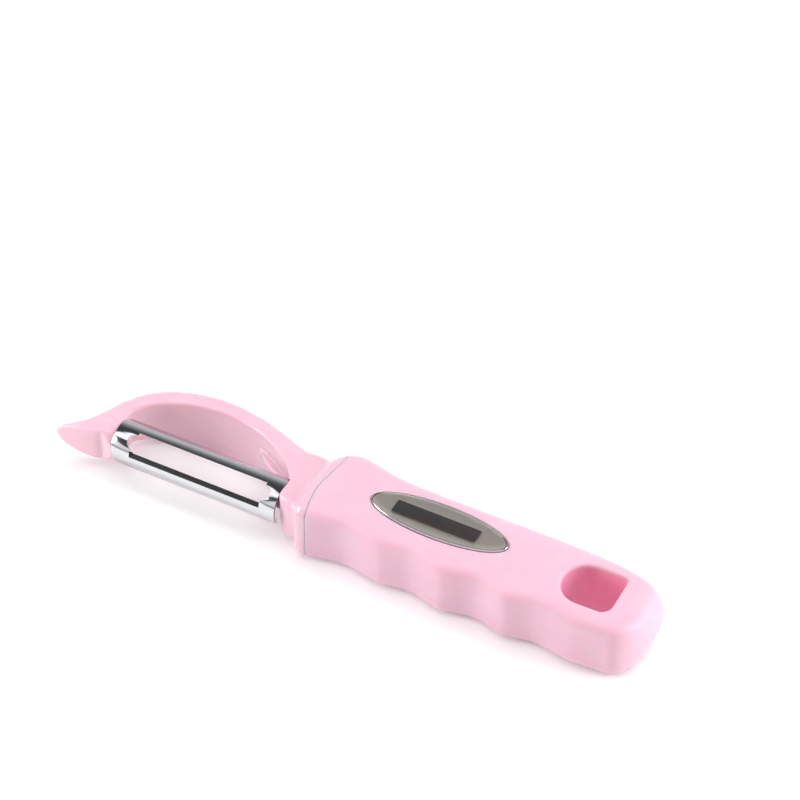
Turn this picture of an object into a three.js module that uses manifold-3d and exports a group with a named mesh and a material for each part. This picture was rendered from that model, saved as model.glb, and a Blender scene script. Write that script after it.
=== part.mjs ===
// Straight swivel peeler with a pointed corer tip, lying on its side.
// Millimetres. X runs from the corer tip (-X) to the butt (+X), +Y is the spine with the arched bridge,
// -Y is the finger side and the cutting side, +Z is up. Drawn about the badge centre on the rest plane,
// then moved so that the origin is the bottom centre of the whole object's box.
import * as THREE from "three";
import { mergeVertices } from "three/addons/utils/BufferGeometryUtils.js";
import Module from "manifold-3d";

const wasm = await Module();
wasm.setup();

// Whole object
const MID_Z = 10.5; // the parting plane of head and handle, halfway up the grip
const FIT_GAP = 0.3; // between pieces that meet

// Handle
const SEAM_X = -37.5; // where the head's collar meets the handle
const BUTT_X = 71.3;
const HANDLE_HEIGHT = 2 * MID_Z;
const HANDLE_CORNER = 4; // radius of the long edges
const BUTT_ROUND = { x: 8.9, near: 14, far: 2, z: 7.8, power: 2.2 }; // how far the butt's rounding reaches
const FINGER_EDGE = [
  // ridges and grooves in turn
  [-38, -15.7],
  [-26, -13.6],
  [-12.5, -15.5],
  [-3.5, -14.2],
  [8.5, -16.5],
  [18.5, -14.5],
  [29.5, -16.7],
  [39, -14.9],
  [51.5, -16.5],
  [63, -15.8],
  [73, -14.5],
];
const SPINE_EDGE = [
  [-37.5, 14.3],
  [-33.5, 15.5],
  [-28, 14.6],
  [-20, 12.9],
  [-8, 12.2],
  [40, 12.2],
  [56, 11.2],
  [73, 7.9],
];
const CAVITY = { end: 38, near: [-11.9, -11], far: [10.5, 9.5], low: 2.8, corner: 3 };

// Hang hole: round towards the blade, flat towards the butt
const HOLE = { x: 50, y: -2, radius: 7.9, flatX: 60, farCorner: 1.5, nearCorner: 3.5 };

// Badge on the top face
const BADGE = { halfLength: 22.8, halfWidth: 7, thickness: 1, top: HANDLE_HEIGHT + 0.45, bevel: 0.35 };
const ADHESIVE = { thickness: 0.2, inset: 1.2 };
const PANEL = { x: -0.75, y: -0.5, length: 28, width: 5, thickness: 0.15, corner: 0.5 };
const LAYER_GAP = 0.05; // between the badge's flat layers

// Blade: a half tube whose two folded end tabs turn on pins
const AXIS_Y = -6;
const BLADE = { front: -108.1, rear: -49.9, radius: 7.15, wall: 0.9, cornerRadius: 6 };
const BLADE_TURN = 125; // degrees from +Y towards +Z that the middle of the blade faces at rest
const SLOT = { from: -100.6, to: -55.2, width: 6.5, endWidth: 4.9, endFrom: -103.4, endTo: -52.6 };
const TAB = { halfWidth: 2.5, overlap: 0.15 }; // folded end tabs that the pins pass through
const PIN_RADIUS = 1.2;
const PIN_HOLE_RADIUS = 1.35;
const FRONT_PIN = { from: -113.5, to: -106.5 };
const REAR_PIN = { from: -51.9, to: -30, headRadius: 2.2, headLength: 1.5 };
const STOP = { halfAngle: 31, inner: 3, outer: 7, length: 1.6 }; // block that limits the blade's swing

// Head
const NECK_FRONT = -49.5;
const TIP_REAR = -108.5;
const NECK_STATIONS = [
  // x, near, far, half height, corner radius
  [NECK_FRONT, -8.6, 10.9, 7.7, 1.1],
  [-49, -9.7, 10.9, 7.8, 1.1],
  [-47.8, -10.9, 10.9, 7.9, 1.1],
  [-45.8, -11.6, 10.9, 8, 1.2],
  [-44.2, -11.9, 10.8, 8.05, 1.4],
  [-43.2, -12.9, 10.6, 8.3, 2.2],
  [-42.2, -14.3, 10.5, 9, 3.2],
  [-41.2, -15.3, 11, 9.8, 3.8],
  [-40.2, -15.65, 11.9, 10.25, HANDLE_CORNER],
  [-39, -15.75, 12.9, 10.45, HANDLE_CORNER],
  [SEAM_X, -15.7, 14.3, 10.5, HANDLE_CORNER],
];
const TIP_STATIONS = [
  [-128.9, -12.3, -11.9, 0.25, 0.1],
  [-126.5, -12.7, -11.2, 2.9, 0.35],
  [-123, -12.7, -10.2, 4.7, 0.6],
  [-120, -12.5, -8.5, 5.7, 0.8],
  [-118, -12.3, -6.2, 6.1, 1],
  [-116, -12.1, -2.8, 6.3, 1],
  [-114, -11.7, 1.4, 6.4, 1],
  [-112.5, -11.1, 4.6, 6.5, 1],
  [-110.5, -11.7, 4.8, 6.5, 3.2],
  [TIP_REAR, -12.3, 5, 6.5, 6.2],
];
// The arched bridge: matching points of its inner wall and its outer spine, seen from above
const BRIDGE_INNER = [
  [-110, -4],
  [-108, 1.6],
  [-104.1, 6.2],
  [-98.3, 9.7],
  [-90.9, 12.1],
  [-82, 13.1],
  [-73.5, 12],
  [-66, 9.7],
  [-59.5, 6.2],
  [-54, 2.3],
  [-49.4, -3.2],
  [-46, -6.5],
];
const BRIDGE_OUTER = [
  [-117, -4.6],
  [-113.4, 4.4],
  [-108.6, 11.2],
  [-100.9, 16.2],
  [-91.6, 18.9],
  [-81, 19.6],
  [-71, 18.2],
  [-62.6, 15.8],
  [-54.8, 12.9],
  [-48.8, 11.2],
  [-45.5, 10.6],
  [-42.5, 10.5],
];
const BRIDGE_HALF_HEIGHT = [6.8, 8]; // at the tip and at the neck
const BRIDGE_DROP = 2.4; // how much deeper than that the bridge hangs below the parting plane, in mid-span
const BRIDGE_LEAN = 0.8; // how far the inner wall's foot leans towards the blade, in mid-span
const BRIDGE_CORNER = 3.6;
const BRIDGE_STEPS = 30;
const GUSSET = {
  thickness: 2.8,
  edge: [[-71, 12.5], [-66, 8], [-60.5, 3.9], [-55.9, 1.6], [-51, -1.2], [-48, -2]],
  back: [[-48, 8], [-60, 11]],
};
const TANG = { rear: 6, near: -8.6, far: 7, halfHeight: 4.5 };
const TANG_RIBS = {
  count: 4,
  first: -32,
  pitch: 11,
  thickness: 2,
  near: -11,
  far: 9.6,
  halfHeight: 7.2,
  corner: 3,
};

const CORNER_STEPS = 5; // facets in each rounded corner of a section
const CURVE_STEPS = 12; // facets in each arc of an outline
const ROUND_STEPS = 32; // facets in a full circle

const material = (color, roughness, metalness) =>
  new THREE.MeshStandardMaterial({ color, roughness, metalness });
const headPlastic = material("#f6c9da", 0.22, 0);
const gripPlastic = material("#f8d3e0", 0.38, 0);
const bladeSteel = material("#c9ccd0", 0.18, 1);
const pinSteel = material("#a9adb2", 0.3, 1);
const badgeSteel = material("#9d958c", 0.32, 1);
const adhesiveFoam = material("#e9e6de", 0.9, 0);
const panelInk = material("#3f4146", 0.45, 0);

// ---------- solids ----------

// A closed geometry as a solid that can be joined and cut.
function solid(geometry) {
  const bare = geometry.clone();
  bare.deleteAttribute("normal");
  bare.deleteAttribute("uv");
  const merged = mergeVertices(bare, 1e-4);
  const triVerts = [];
  for (let i = 0; i < merged.index.count; i += 3) {
    const [a, b, c] = [0, 1, 2].map((k) => merged.index.getX(i + k));
    if (a !== b && b !== c && c !== a) triVerts.push(a, b, c);
  }
  const data = new wasm.Mesh({
    numProp: 3,
    vertProperties: Float32Array.from(merged.attributes.position.array),
    triVerts: Uint32Array.from(triVerts),
  });
  return new wasm.Manifold(data);
}

function mesh(name, shape, meshMaterial) {
  const { vertProperties, triVerts } = shape.getMesh();
  const geometry = new THREE.BufferGeometry();
  geometry.setAttribute("position", new THREE.BufferAttribute(Float32Array.from(vertProperties), 3));
  geometry.setIndex(new THREE.BufferAttribute(Uint32Array.from(triVerts), 1));
  geometry.computeVertexNormals();
  const made = new THREE.Mesh(geometry, meshMaterial);
  made.name = name;
  return made;
}

// A skin over rings of equal length, closed at each end by a fan about the ring's centre.
function loft(rings) {
  const count = rings[0].length;
  const positions = rings.flat().flatMap((p) => p.toArray());
  const index = [];
  for (let k = 0; k + 1 < rings.length; k += 1) {
    for (let i = 0; i < count; i += 1) {
      const a = k * count + i;
      const b = k * count + ((i + 1) % count);
      index.push(a, b, b + count, a, b + count, a + count);
    }
  }
  for (const [k, turned] of [[0, true], [rings.length - 1, false]]) {
    const centre = rings[k].reduce((sum, p) => sum.add(p), new THREE.Vector3()).divideScalar(count);
    const middle = positions.length / 3;
    positions.push(...centre.toArray());
    for (let i = 0; i < count; i += 1) {
      const a = k * count + i;
      const b = k * count + ((i + 1) % count);
      if (turned) index.push(middle, b, a);
      else index.push(middle, a, b);
    }
  }
  const geometry = new THREE.BufferGeometry();
  geometry.setAttribute("position", new THREE.Float32BufferAttribute(positions, 3));
  geometry.setIndex(index);
  return solid(geometry);
}

// A rounded rectangle across the length at x, turning from +Y towards +Z.
function section(x, near, far, low, high, corner) {
  const r = Math.min(corner, (far - near) / 2 - 0.01, (high - low) / 2 - 0.01);
  const centres = [
    [far - r, high - r],
    [near + r, high - r],
    [near + r, low + r],
    [far - r, low + r],
  ];
  return centres.flatMap(([y, z], quarter) =>
    Array.from({ length: CORNER_STEPS + 1 }, (_, i) => {
      const angle = ((quarter + i / CORNER_STEPS) * Math.PI) / 2;
      return new THREE.Vector3(x, y + r * Math.cos(angle), z + r * Math.sin(angle));
    }),
  );
}

// A smooth curve y(x) through points in rising x.
function profile(points) {
  const slope = (i) => {
    const a = points[Math.max(i - 1, 0)];
    const b = points[Math.min(i + 1, points.length - 1)];
    return (b[1] - a[1]) / (b[0] - a[0]);
  };
  return (x) => {
    let i = 0;
    while (i < points.length - 2 && x > points[i + 1][0]) i += 1;
    const [[x0, y0], [x1, y1]] = [points[i], points[i + 1]];
    const t = THREE.MathUtils.clamp((x - x0) / (x1 - x0), 0, 1);
    const bend = (x1 - x0) * t * (1 - t);
    const blend = t * t * (3 - 2 * t);
    return y0 + (y1 - y0) * blend + bend * ((1 - t) * slope(i) - t * slope(i + 1));
  };
}

const extruded = (shape, depth) =>
  new THREE.ExtrudeGeometry(shape, { depth, bevelEnabled: false, curveSegments: CURVE_STEPS });

// A flat outline in (x, y), extruded up from z = low to z = high.
function plate(shape, low, high) {
  return solid(extruded(shape, high - low).translate(0, 0, low));
}

// A flat outline in (y, z), extruded along X.
function across(shape, from, to) {
  const turn = new THREE.Matrix4().set(0, 0, 1, from, 1, 0, 0, 0, 0, 1, 0, 0, 0, 0, 0, 1);
  return solid(extruded(shape, to - from).applyMatrix4(turn));
}

function rod(radius, from, to) {
  const geometry = new THREE.CylinderGeometry(radius, radius, to - from, ROUND_STEPS);
  geometry.rotateZ(-Math.PI / 2).translate((from + to) / 2, AXIS_Y, MID_Z);
  return solid(geometry);
}

function box(x0, x1, y0, y1, z0, z1) {
  const geometry = new THREE.BoxGeometry(x1 - x0, y1 - y0, z1 - z0);
  return solid(geometry.translate((x0 + x1) / 2, (y0 + y1) / 2, (z0 + z1) / 2));
}

const join = (shapes) => shapes.reduce((whole, shape) => whole.add(shape));
const symmetricSection = ([x, near, far, half, corner]) =>
  section(x, near, far, MID_Z - half, MID_Z + half, corner);

// ---------- handle ----------

function handleBody() {
  const [fingerEdge, spineEdge] = [profile(FINGER_EDGE), profile(SPINE_EDGE)];
  const start = SEAM_X + FIT_GAP;
  const straightEnd = BUTT_X - BUTT_ROUND.x;
  const steps = 52;
  const rings = Array.from({ length: steps + 1 }, (_, k) => {
    const x = THREE.MathUtils.lerp(start, straightEnd, k / steps);
    return section(x, fingerEdge(x), spineEdge(x), 0, HANDLE_HEIGHT, HANDLE_CORNER);
  });
  const buttSteps = 8;
  for (let k = 1; k <= buttSteps; k += 1) {
    const along = Math.sin(((k / buttSteps) * Math.PI) / 2);
    const inward = 1 - (1 - along ** BUTT_ROUND.power) ** (1 / BUTT_ROUND.power);
    const x = straightEnd + BUTT_ROUND.x * along;
    const near = fingerEdge(x) + BUTT_ROUND.near * inward;
    const far = spineEdge(x) - BUTT_ROUND.far * inward;
    const inZ = BUTT_ROUND.z * inward;
    rings.push(section(x, near, far, inZ, HANDLE_HEIGHT - inZ, HANDLE_CORNER));
  }
  return loft(rings);
}

function handleCavity() {
  const { end, near, far, low, corner } = CAVITY;
  const ring = (x, i) => section(x, near[i], far[i], low, HANDLE_HEIGHT - low, corner);
  return loft([ring(SEAM_X - 1, 0), ring(end, 1)]);
}

function holeOutline() {
  const { x, y, radius, flatX, farCorner, nearCorner } = HOLE;
  const shape = new THREE.Shape();
  shape.absarc(x, y, radius, Math.PI / 2, (3 * Math.PI) / 2, false);
  shape.lineTo(flatX - nearCorner, y - radius);
  shape.absarc(flatX - nearCorner, y - radius + nearCorner, nearCorner, -Math.PI / 2, 0, false);
  shape.lineTo(flatX, y + radius - farCorner);
  shape.absarc(flatX - farCorner, y + radius - farCorner, farCorner, 0, Math.PI / 2, false);
  return shape;
}

function ellipse(halfLength, halfWidth) {
  const shape = new THREE.Shape();
  shape.absellipse(0, 0, halfLength, halfWidth, 0, 2 * Math.PI, false, 0);
  return shape;
}

const adhesiveLow = BADGE.top - BADGE.thickness - LAYER_GAP - ADHESIVE.thickness;

function handleGrip() {
  const recess = ellipse(BADGE.halfLength + FIT_GAP, BADGE.halfWidth + FIT_GAP);
  return handleBody()
    .subtract(handleCavity())
    .subtract(plate(holeOutline(), -1, HANDLE_HEIGHT + 1))
    .subtract(plate(recess, adhesiveLow - LAYER_GAP, HANDLE_HEIGHT + 1));
}

// ---------- badge ----------

function badgePlate() {
  const { halfLength, halfWidth, thickness, top, bevel } = BADGE;
  const geometry = new THREE.ExtrudeGeometry(ellipse(halfLength, halfWidth), {
    depth: thickness - bevel,
    bevelEnabled: true,
    bevelThickness: bevel,
    bevelSize: bevel,
    bevelOffset: -bevel,
    bevelSegments: 2,
    curveSegments: 24,
  });
  const bottom = top - thickness;
  const above = box(-halfLength, halfLength, -halfWidth, halfWidth, bottom, top + thickness);
  return solid(geometry.translate(0, 0, bottom)).intersect(above);
}

function badgeAdhesive() {
  const outline = ellipse(BADGE.halfLength - ADHESIVE.inset, BADGE.halfWidth - ADHESIVE.inset);
  return plate(outline, adhesiveLow, adhesiveLow + ADHESIVE.thickness);
}

function badgePanel() {
  const { x, y, length, width, thickness, corner } = PANEL;
  const [a, b] = [length / 2 - corner, width / 2 - corner];
  const shape = new THREE.Shape();
  shape.absarc(x + a, y + b, corner, 0, Math.PI / 2, false);
  shape.absarc(x - a, y + b, corner, Math.PI / 2, Math.PI, false);
  shape.absarc(x - a, y - b, corner, Math.PI, 1.5 * Math.PI, false);
  shape.absarc(x + a, y - b, corner, 1.5 * Math.PI, 2 * Math.PI, false);
  return plate(shape, BADGE.top + LAYER_GAP, BADGE.top + LAYER_GAP + thickness);
}

// ---------- head ----------

// One cross-section of the bridge: a square edge on its inner wall and round corners on its spine.
function bridgeRing(inner, outer, above, below, lean) {
  const out = outer.clone().sub(inner).normalize();
  const flat = outer.distanceTo(inner) - BRIDGE_CORNER;
  const at = (distance, z) => inner.clone().addScaledVector(out, distance).setZ(z);
  const ring = [at(-lean, MID_Z - below), at(0, MID_Z + above)];
  for (const [side, from, half] of [[1, 1, above], [-1, 0, below]]) {
    for (let i = 0; i <= CORNER_STEPS; i += 1) {
      const angle = (Math.abs(from - i / CORNER_STEPS) * Math.PI) / 2;
      const distance = flat + BRIDGE_CORNER * Math.cos(angle);
      ring.push(at(distance, MID_Z + side * (half - BRIDGE_CORNER + BRIDGE_CORNER * Math.sin(angle))));
    }
  }
  return ring.reverse();
}

function bridge() {
  const curve = (points) => new THREE.CatmullRomCurve3(points.map(([x, y]) => new THREE.Vector3(x, y, 0)));
  const [inner, outer] = [curve(BRIDGE_INNER), curve(BRIDGE_OUTER)];
  const rings = Array.from({ length: BRIDGE_STEPS + 1 }, (_, k) => {
    const t = k / BRIDGE_STEPS;
    const half = THREE.MathUtils.lerp(...BRIDGE_HALF_HEIGHT, t);
    const midSpan = Math.sin(Math.PI * t);
    const [below, lean] = [half + BRIDGE_DROP * midSpan, BRIDGE_LEAN * midSpan];
    return bridgeRing(inner.getPoint(t), outer.getPoint(t), half, below, lean);
  });
  return loft(rings);
}

// The web in the corner between the bridge and the neck.
function gusset() {
  const shape = new THREE.Shape();
  shape.moveTo(...GUSSET.edge[0]);
  shape.splineThru(GUSSET.edge.slice(1).map(([x, y]) => new THREE.Vector2(x, y)));
  for (const [x, y] of GUSSET.back) shape.lineTo(x, y);
  return plate(shape, MID_Z - GUSSET.thickness / 2, MID_Z + GUSSET.thickness / 2);
}

// The block beside the rear pin that a leg of the blade meets at each end of its swing.
function stopBlock(from, to) {
  const half = THREE.MathUtils.degToRad(STOP.halfAngle);
  const shape = new THREE.Shape();
  shape.absarc(AXIS_Y, MID_Z, STOP.outer, -half, half, false);
  shape.absarc(AXIS_Y, MID_Z, STOP.inner, half, -half, true);
  return across(shape, from, to);
}

function tang() {
  const { rear, near, far, halfHeight } = TANG;
  const bar = box(SEAM_X - 1, rear, near, far, MID_Z - halfHeight, MID_Z + halfHeight);
  const ribs = Array.from({ length: TANG_RIBS.count }, (_, i) => {
    const x = TANG_RIBS.first + i * TANG_RIBS.pitch;
    const { thickness, near: ribNear, far: ribFar, halfHeight: ribHalf, corner } = TANG_RIBS;
    return loft([x, x + thickness].map((at) => symmetricSection([at, ribNear, ribFar, ribHalf, corner])));
  });
  return join([bar, ...ribs]);
}

function headFrame() {
  const body = join([
    loft(NECK_STATIONS.map(symmetricSection)),
    loft(TIP_STATIONS.map(symmetricSection)),
    bridge(),
    gusset(),
    tang(),
  ]);
  const bladeRoom = rod(BLADE.radius + FIT_GAP, TIP_REAR, NECK_FRONT);
  const headSeat = REAR_PIN.to - REAR_PIN.headLength - LAYER_GAP;
  return body
    .subtract(bladeRoom)
    .add(stopBlock(NECK_FRONT - STOP.length, NECK_FRONT + STOP.length))
    .subtract(rod(PIN_HOLE_RADIUS, FRONT_PIN.from - LAYER_GAP, TIP_REAR + 1))
    .subtract(rod(PIN_HOLE_RADIUS, NECK_FRONT - 1, headSeat + 1))
    .subtract(rod(REAR_PIN.headRadius + FIT_GAP, headSeat, TANG.rear + 1));
}

// ---------- blade ----------

// Half of a tube with a folded tab at each end, lying along X with its middle facing +Y.
function bladeBlank() {
  const { front, rear, radius, wall } = BLADE;
  const halfRing = new THREE.Shape();
  halfRing.absarc(0, 0, radius, -Math.PI / 2, Math.PI / 2, false);
  halfRing.absarc(0, 0, radius - wall, Math.PI / 2, -Math.PI / 2, true);
  const tab = new THREE.Shape();
  tab.moveTo(radius - wall + TAB.overlap, -TAB.halfWidth);
  tab.lineTo(radius - wall + TAB.overlap, TAB.halfWidth);
  tab.absarc(0, 0, TAB.halfWidth, Math.PI / 2, (3 * Math.PI) / 2, false);
  const tube = across(halfRing, front, rear).subtract(cornerCut());
  return join([tube, across(tab, front, front + wall), across(tab, rear - wall, rear)]);
}

// What is cut away to round the free front corner of each leg.
function cornerCut() {
  const { front, radius, cornerRadius } = BLADE;
  const shape = new THREE.Shape();
  shape.moveTo(front - 1, -1);
  shape.lineTo(front + cornerRadius, -1);
  shape.absarc(front + cornerRadius, cornerRadius, cornerRadius, -Math.PI / 2, -Math.PI, true);
  shape.lineTo(front - 1, cornerRadius);
  return plate(shape, -radius - 1, radius + 1);
}

// The cutting slot, long enough to pass right through the blade's middle.
function slotCut() {
  const { from, to, width, endWidth, endFrom, endTo } = SLOT;
  const end = endWidth / 2;
  const shape = new THREE.Shape();
  shape.absarc(endFrom + end, 0, end, Math.PI / 2, (3 * Math.PI) / 2, false);
  shape.lineTo(from, -end);
  shape.lineTo(from, -width / 2);
  shape.lineTo(to, -width / 2);
  shape.lineTo(to, -end);
  shape.absarc(endTo - end, 0, end, -Math.PI / 2, Math.PI / 2, false);
  shape.lineTo(to, end);
  shape.lineTo(to, width / 2);
  shape.lineTo(from, width / 2);
  shape.lineTo(from, end);
  const { radius, wall } = BLADE;
  return solid(extruded(shape, radius).rotateX(-Math.PI / 2).translate(0, wall, 0));
}

function blade() {
  const pinHoles = rod(PIN_HOLE_RADIUS, BLADE.front - 1, BLADE.rear + 1).translate([0, -AXIS_Y, -MID_Z]);
  return bladeBlank().subtract(slotCut()).subtract(pinHoles);
}

function frontPin() {
  return rod(PIN_RADIUS, FRONT_PIN.from, FRONT_PIN.to);
}

function rearPin() {
  const { from, to, headRadius, headLength } = REAR_PIN;
  return rod(PIN_RADIUS, from, to).add(rod(headRadius, to - headLength, to));
}

// ---------- assembly ----------

const peeler = new THREE.Group();
const drawing = new THREE.Group();
peeler.add(drawing);

drawing.add(
  mesh("head_frame", headFrame(), headPlastic),
  mesh("handle_grip", handleGrip(), gripPlastic),
  mesh("front_pivot_pin", frontPin(), pinSteel),
  mesh("rear_pivot_pin", rearPin(), pinSteel),
  mesh("badge_adhesive", badgeAdhesive(), adhesiveFoam),
  mesh("badge_plate", badgePlate(), badgeSteel),
  mesh("badge_panel", badgePanel(), panelInk),
);

const bladeMesh = mesh("blade", blade(), bladeSteel);
bladeMesh.position.set(0, AXIS_Y, MID_Z);
bladeMesh.rotation.x = THREE.MathUtils.degToRad(BLADE_TURN);
drawing.add(bladeMesh);

const bounds = new THREE.Box3().setFromObject(drawing, true);
const centre = bounds.getCenter(new THREE.Vector3());
drawing.position.set(-centre.x, -centre.y, -bounds.min.z);

export default peeler;
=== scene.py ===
# Straight swivel peeler with a pointed corer tip: its fine meshes, materials, light and camera.
import math

import bpy
from mathutils import Matrix, Vector


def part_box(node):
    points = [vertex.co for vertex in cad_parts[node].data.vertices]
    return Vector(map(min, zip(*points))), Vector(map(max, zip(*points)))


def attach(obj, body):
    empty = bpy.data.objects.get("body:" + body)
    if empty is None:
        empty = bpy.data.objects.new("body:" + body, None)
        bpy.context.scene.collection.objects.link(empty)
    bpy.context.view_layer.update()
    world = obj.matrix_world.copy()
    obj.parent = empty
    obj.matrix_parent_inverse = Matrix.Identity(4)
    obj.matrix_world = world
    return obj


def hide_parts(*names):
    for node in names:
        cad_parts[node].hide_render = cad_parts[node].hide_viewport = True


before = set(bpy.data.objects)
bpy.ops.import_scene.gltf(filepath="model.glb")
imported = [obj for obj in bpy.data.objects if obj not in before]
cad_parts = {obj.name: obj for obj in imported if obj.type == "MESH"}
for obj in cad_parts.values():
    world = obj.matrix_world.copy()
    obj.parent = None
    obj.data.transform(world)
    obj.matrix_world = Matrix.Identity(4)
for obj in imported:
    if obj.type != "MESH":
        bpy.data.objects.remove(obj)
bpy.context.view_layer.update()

# ---------------------------------------------------------------- sizes
# Millimetres on the drawing's axes: X from the corer tip (-X) to the butt (+X), +Y the spine, Z up,
# and the origin on the rest plane under the badge's centre. settle() turns a piece into the frame's
# metres.
MM = 0.001
badge_low, badge_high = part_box("badge_plate")
badge_centre = (badge_low + badge_high) / 2
TO_FRAME = Matrix.Translation((badge_centre.x, badge_centre.y, 0)) @ Matrix.Scale(MM, 4)

MID_Z = 10.5  # the moulds' parting plane
FIT_GAP = 0.3  # between parts that fit into one another
PAST = 1  # how far a cutter reaches past the face that it opens

SEAM_X = -37.5
SEAM_GAP = 0.005
SEAM_BOW = {"depth": 1.9, "middle": -3.5, "half_width": 15}  # how the seam curves towards the tip
BUTT_X = 71.3
HANDLE_HEIGHT = 2 * MID_Z
HANDLE_CORNER = 4
# The butt's round: how much of X it takes, how far it draws in each side and the height, and how
# square its curve is.
BUTT_ROUND = {"x": 8.9, "near": 14, "far": 2, "z": 7.8, "power": 2.2}
FINGER_EDGE = [  # (x, y) of ridges and grooves in turn, from a ridge
    (-38, -15.7), (-26, -13.6), (-12.5, -15.5), (-3.5, -14.2), (8.5, -16.5), (18.5, -14.5),
    (29.5, -16.7), (39, -14.9), (51.5, -16.5), (63, -15.8), (73, -14.5),
]
RIDGE_SHARPNESS = 0.2
SPINE_EDGE = [  # (x, y) of the far edge
    (-37.5, 14.3), (-33.5, 15.5), (-28, 14.6), (-20, 12.9),
    (-8, 12.2), (40, 12.2), (56, 11.2), (73, 7.9),
]
# The room inside the handle, with its sides at the seam and at its end.
CAVITY = {"end": 38, "near": (-11.9, -11), "far": (10.5, 9.5), "low": 2.8, "corner": 3}
HOLE = {"x": 50, "y": -2, "radius": 7.9, "flat_x": 60, "far_corner": 1.5, "near_corner": 3.5}
HOLE_RIM = {"soft": 1.3, "crisp": 0.35}  # edge radius on the blade's side and on the butt's side
HOLE_PAINTED_GLOW_DEPTH = 1.3  # how far in from each opening the wall's painted glow, a deeper pink, starts

BADGE = {"half_length": 22.8, "half_width": 7, "bottom": 20.45, "top": 21.45,
         "rim": 0.85, "dish": 0.16, "chamfer": 0.15}
ADHESIVE = {"low": 20.2, "high": 20.4, "inset": 1.2}
PANEL = {"x": -0.75, "y": -0.5, "length": 28, "width": 5, "corner": 0.5, "low": 21.5, "high": 21.65}
RECESS = {"floor": 20.15, "chamfer": 0.15}

AXIS_Y = -6
BLADE = {"front": -108.1, "rear": -49.9, "radius": 7.15, "wall": 0.9, "corner": 6}
BLADE_TURN = math.radians(125)  # from +Y towards +Z
SLOT = {"from": -100.6, "to": -55.2, "width": 6.5,
        "end_width": 4.9, "end_from": -103.4, "end_to": -52.6}
# The facet ground on the slot's lower edge: its distance from the axis, its tilt, and how far before
# the slot it starts.
GROUND = {"level": 5.8, "tilt": math.radians(7), "lead": 0.9}
TAB = {"half_width": 2.5, "overlap": 0.15}  # the blade's end tabs, which turn on the pins
PIN_RADIUS = 1.2
PIN_HOLE_RADIUS = 1.35
FRONT_PIN = (-113.5, -106.5)
REAR_PIN = {"from": -51.9, "to": -30, "head_radius": 2.2, "head_length": 1.5}
PIN_CHAMFER = 0.25
PIN_PLAY = 0.05  # free room at a pin's end
# The block that ends the blade's swing, as a sector about the axis.
STOP = {"half_angle": 31, "inner": 3, "outer": 7, "length": 1.6}

NECK_FRONT = -49.5
TIP_REAR = -108.5
NECK_STATIONS = [  # x, near side, far side, half height, corner radius
    (NECK_FRONT, -9.9, 10.4, 7.7, 1.1),
    (-49, -10.6, 10.4, 7.8, 1.1),
    (-47.8, -11.2, 10.3, 7.9, 1.1),
    (-45.8, -11.7, 10.2, 8, 1.2),
    (-44.2, -11.9, 10.1, 8.05, 1.4),
    (-43.2, -12.9, 10.1, 8.2, 2.2),
    (-42.2, -14.3, 10.2, 8.7, 3.2),
    (-41.2, -15.3, 10.8, 9.6, 3.8),
    (-40.2, -15.65, 11.9, 10.25, HANDLE_CORNER),
    (-39, -15.75, 12.9, 10.45, HANDLE_CORNER),
    (SEAM_X, -15.7, 14.3, 10.5, HANDLE_CORNER),
]
TIP_STATIONS = [
    (-128.9, -12.3, -11.9, 0.25, 0.1),
    (-126.5, -12.7, -11.2, 2.9, 0.35),
    (-123, -12.7, -10.2, 4.7, 0.6),
    (-120, -12.5, -8.5, 5.7, 0.8),
    (-118, -12.3, -6.2, 6.1, 1),
    (-116, -12.1, -2.8, 6.3, 1),
    (-114, -11.7, 1.4, 6.4, 1),
    (-112.5, -11.1, 4.6, 6.5, 1),
    (-110.5, -11.7, 4.8, 6.5, 3.2),
    (TIP_REAR, -12.3, 5, 6.5, 6.2),
]
NECK_CHIN = {"radius": 5.5, "far": -3.5}  # the round lower front corner, up to its far side's y
# Matching points of the arch's inner wall and of its spine, seen from above.
ARCH_INNER = [
    (-110, -4), (-108, 1.6), (-104.1, 6.2), (-98.3, 9.7), (-90.9, 12.1), (-82, 13.1),
    (-73.5, 12), (-66, 9.7), (-59.5, 6.2), (-54, 2.3), (-49.4, -3.2), (-46, -6.5),
]
ARCH_OUTER = [
    (-117, -4.6), (-113.4, 4.4), (-108.6, 11.2), (-100.9, 16.2), (-91.6, 18.9), (-81, 19.6),
    (-71, 18.2), (-62.6, 15.8), (-54.8, 13), (-48.8, 11.1), (-45.5, 10.2), (-42.5, 10.1),
]
ARCH_HALF_HEIGHT = (6.8, 8)  # at the tip and at the neck
ARCH_DROP = 2.8  # how much lower its foot hangs in mid-span than the half height says
ARCH_LEAN = 1.9  # how far its inner wall's foot leans towards the blade, in mid-span
ARCH_SPINE_CORNER = 3.6
ARCH_INNER_CORNER = (1.8, 0.5)  # at the tip and at the neck
ARCH_CORNER_PACE = 1.6  # the inner corner has its neck radius after 1 / 1.6 of the way
WEB = {"half_thickness": 1.4, "back": [(-48, 8), (-60, 11)],
       "edge": [(-71, 12.5), (-66, 8), (-60.5, 3.9), (-55.9, 1.6), (-51, -1.2), (-48, -2)]}
TANG = {"rear": 6, "near": -8.6, "far": 7, "half_height": 4.5, "corner": 0.8}
TANG_RIBS = {"count": 4, "first": -32, "pitch": 11, "thickness": 2, "near": -11, "far": 9.6,
             "half_height": 7.2, "corner": 3}

# The edge length of the two mouldings' meshes, and how many steps each curve is drawn in.
HEAD_VOXEL = 0.3
GRIP_VOXEL = 0.42
CORNER_STEPS = 8
ROUND_STEPS = 64
OVAL_STEPS = 160
GRIP_STEPS = 140
BUTT_STEPS = 40
NECK_STEPS = 60
TIP_STEPS = 90
ARCH_STEPS = 90
WEB_STEPS = 20
LIP_STEPS = 8
RIM_STEPS = 10

# ---------------------------------------------------------------- mesh tools


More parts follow.
